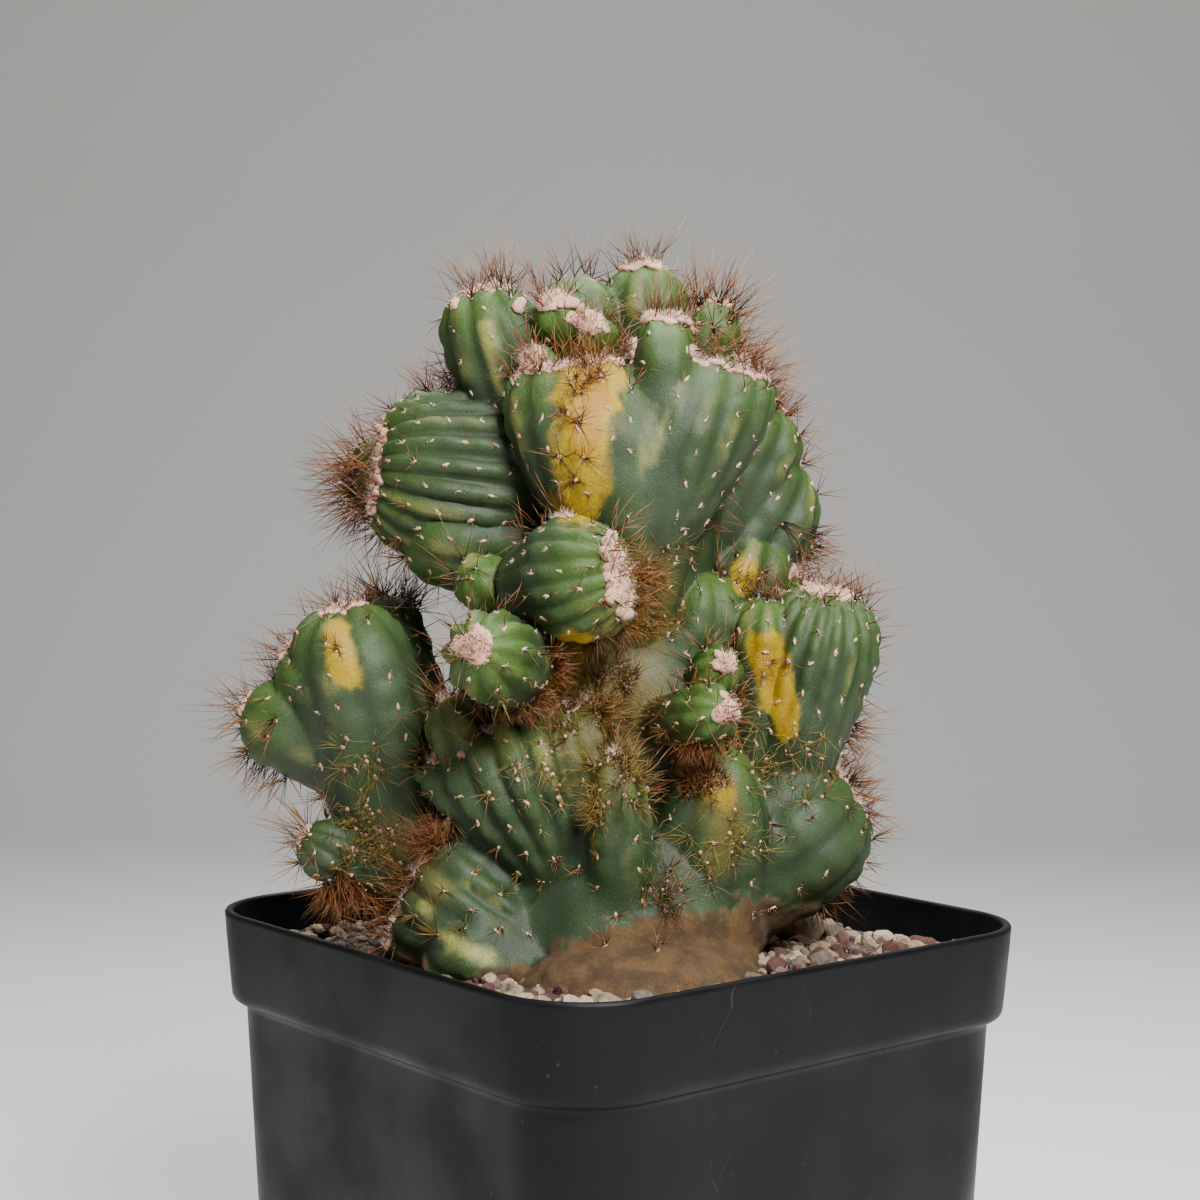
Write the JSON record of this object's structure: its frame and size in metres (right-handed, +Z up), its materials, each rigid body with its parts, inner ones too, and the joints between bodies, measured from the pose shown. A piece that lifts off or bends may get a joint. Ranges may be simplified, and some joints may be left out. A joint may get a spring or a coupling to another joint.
{
  "type": "potted monstrose cactus",
  "caption": "Clumping monstrose cactus with lobed, ribbed and crested heads and fine spines, standing in a square plastic nursery pot filled with gritty mix and loose stones.",
  "frame": {"origin": "centre of the pot's underside, on the surface that it stands on", "axes": "+Z up; +X and +Y square to the pot's sides; the plant's front faces the corner between -X and -Y"},
  "size_m": [0.0975, 0.088, 0.1831],
  "materials": {
    "pot_plastic": "thermoformed black polypropylene, scuffed and dusty",
    "grit": "dry mineral grit of pumice and lava",
    "cactus_skin": "waxy blue-green skin with cream streaks, yellow patches and a corky foot",
    "pumice": "rough cream pumice",
    "lava": "rough reddish-brown lava"
  },
  "bodies": {
    "root": {"pot": "pot_plastic", "growing_mix": "grit", "cactus": "cactus_skin", "stone_01": "pumice", "stone_02": "pumice", "stone_03": "lava", "stone_04": "pumice", "stone_05": "pumice", "stone_06": "lava", "stone_07": "pumice", "stone_08": "pumice", "stone_09": "pumice", "stone_10": "pumice", "stone_11": "lava", "stone_12": "pumice", "stone_13": "pumice", "stone_14": "lava"}
  },
  "joints": []
}
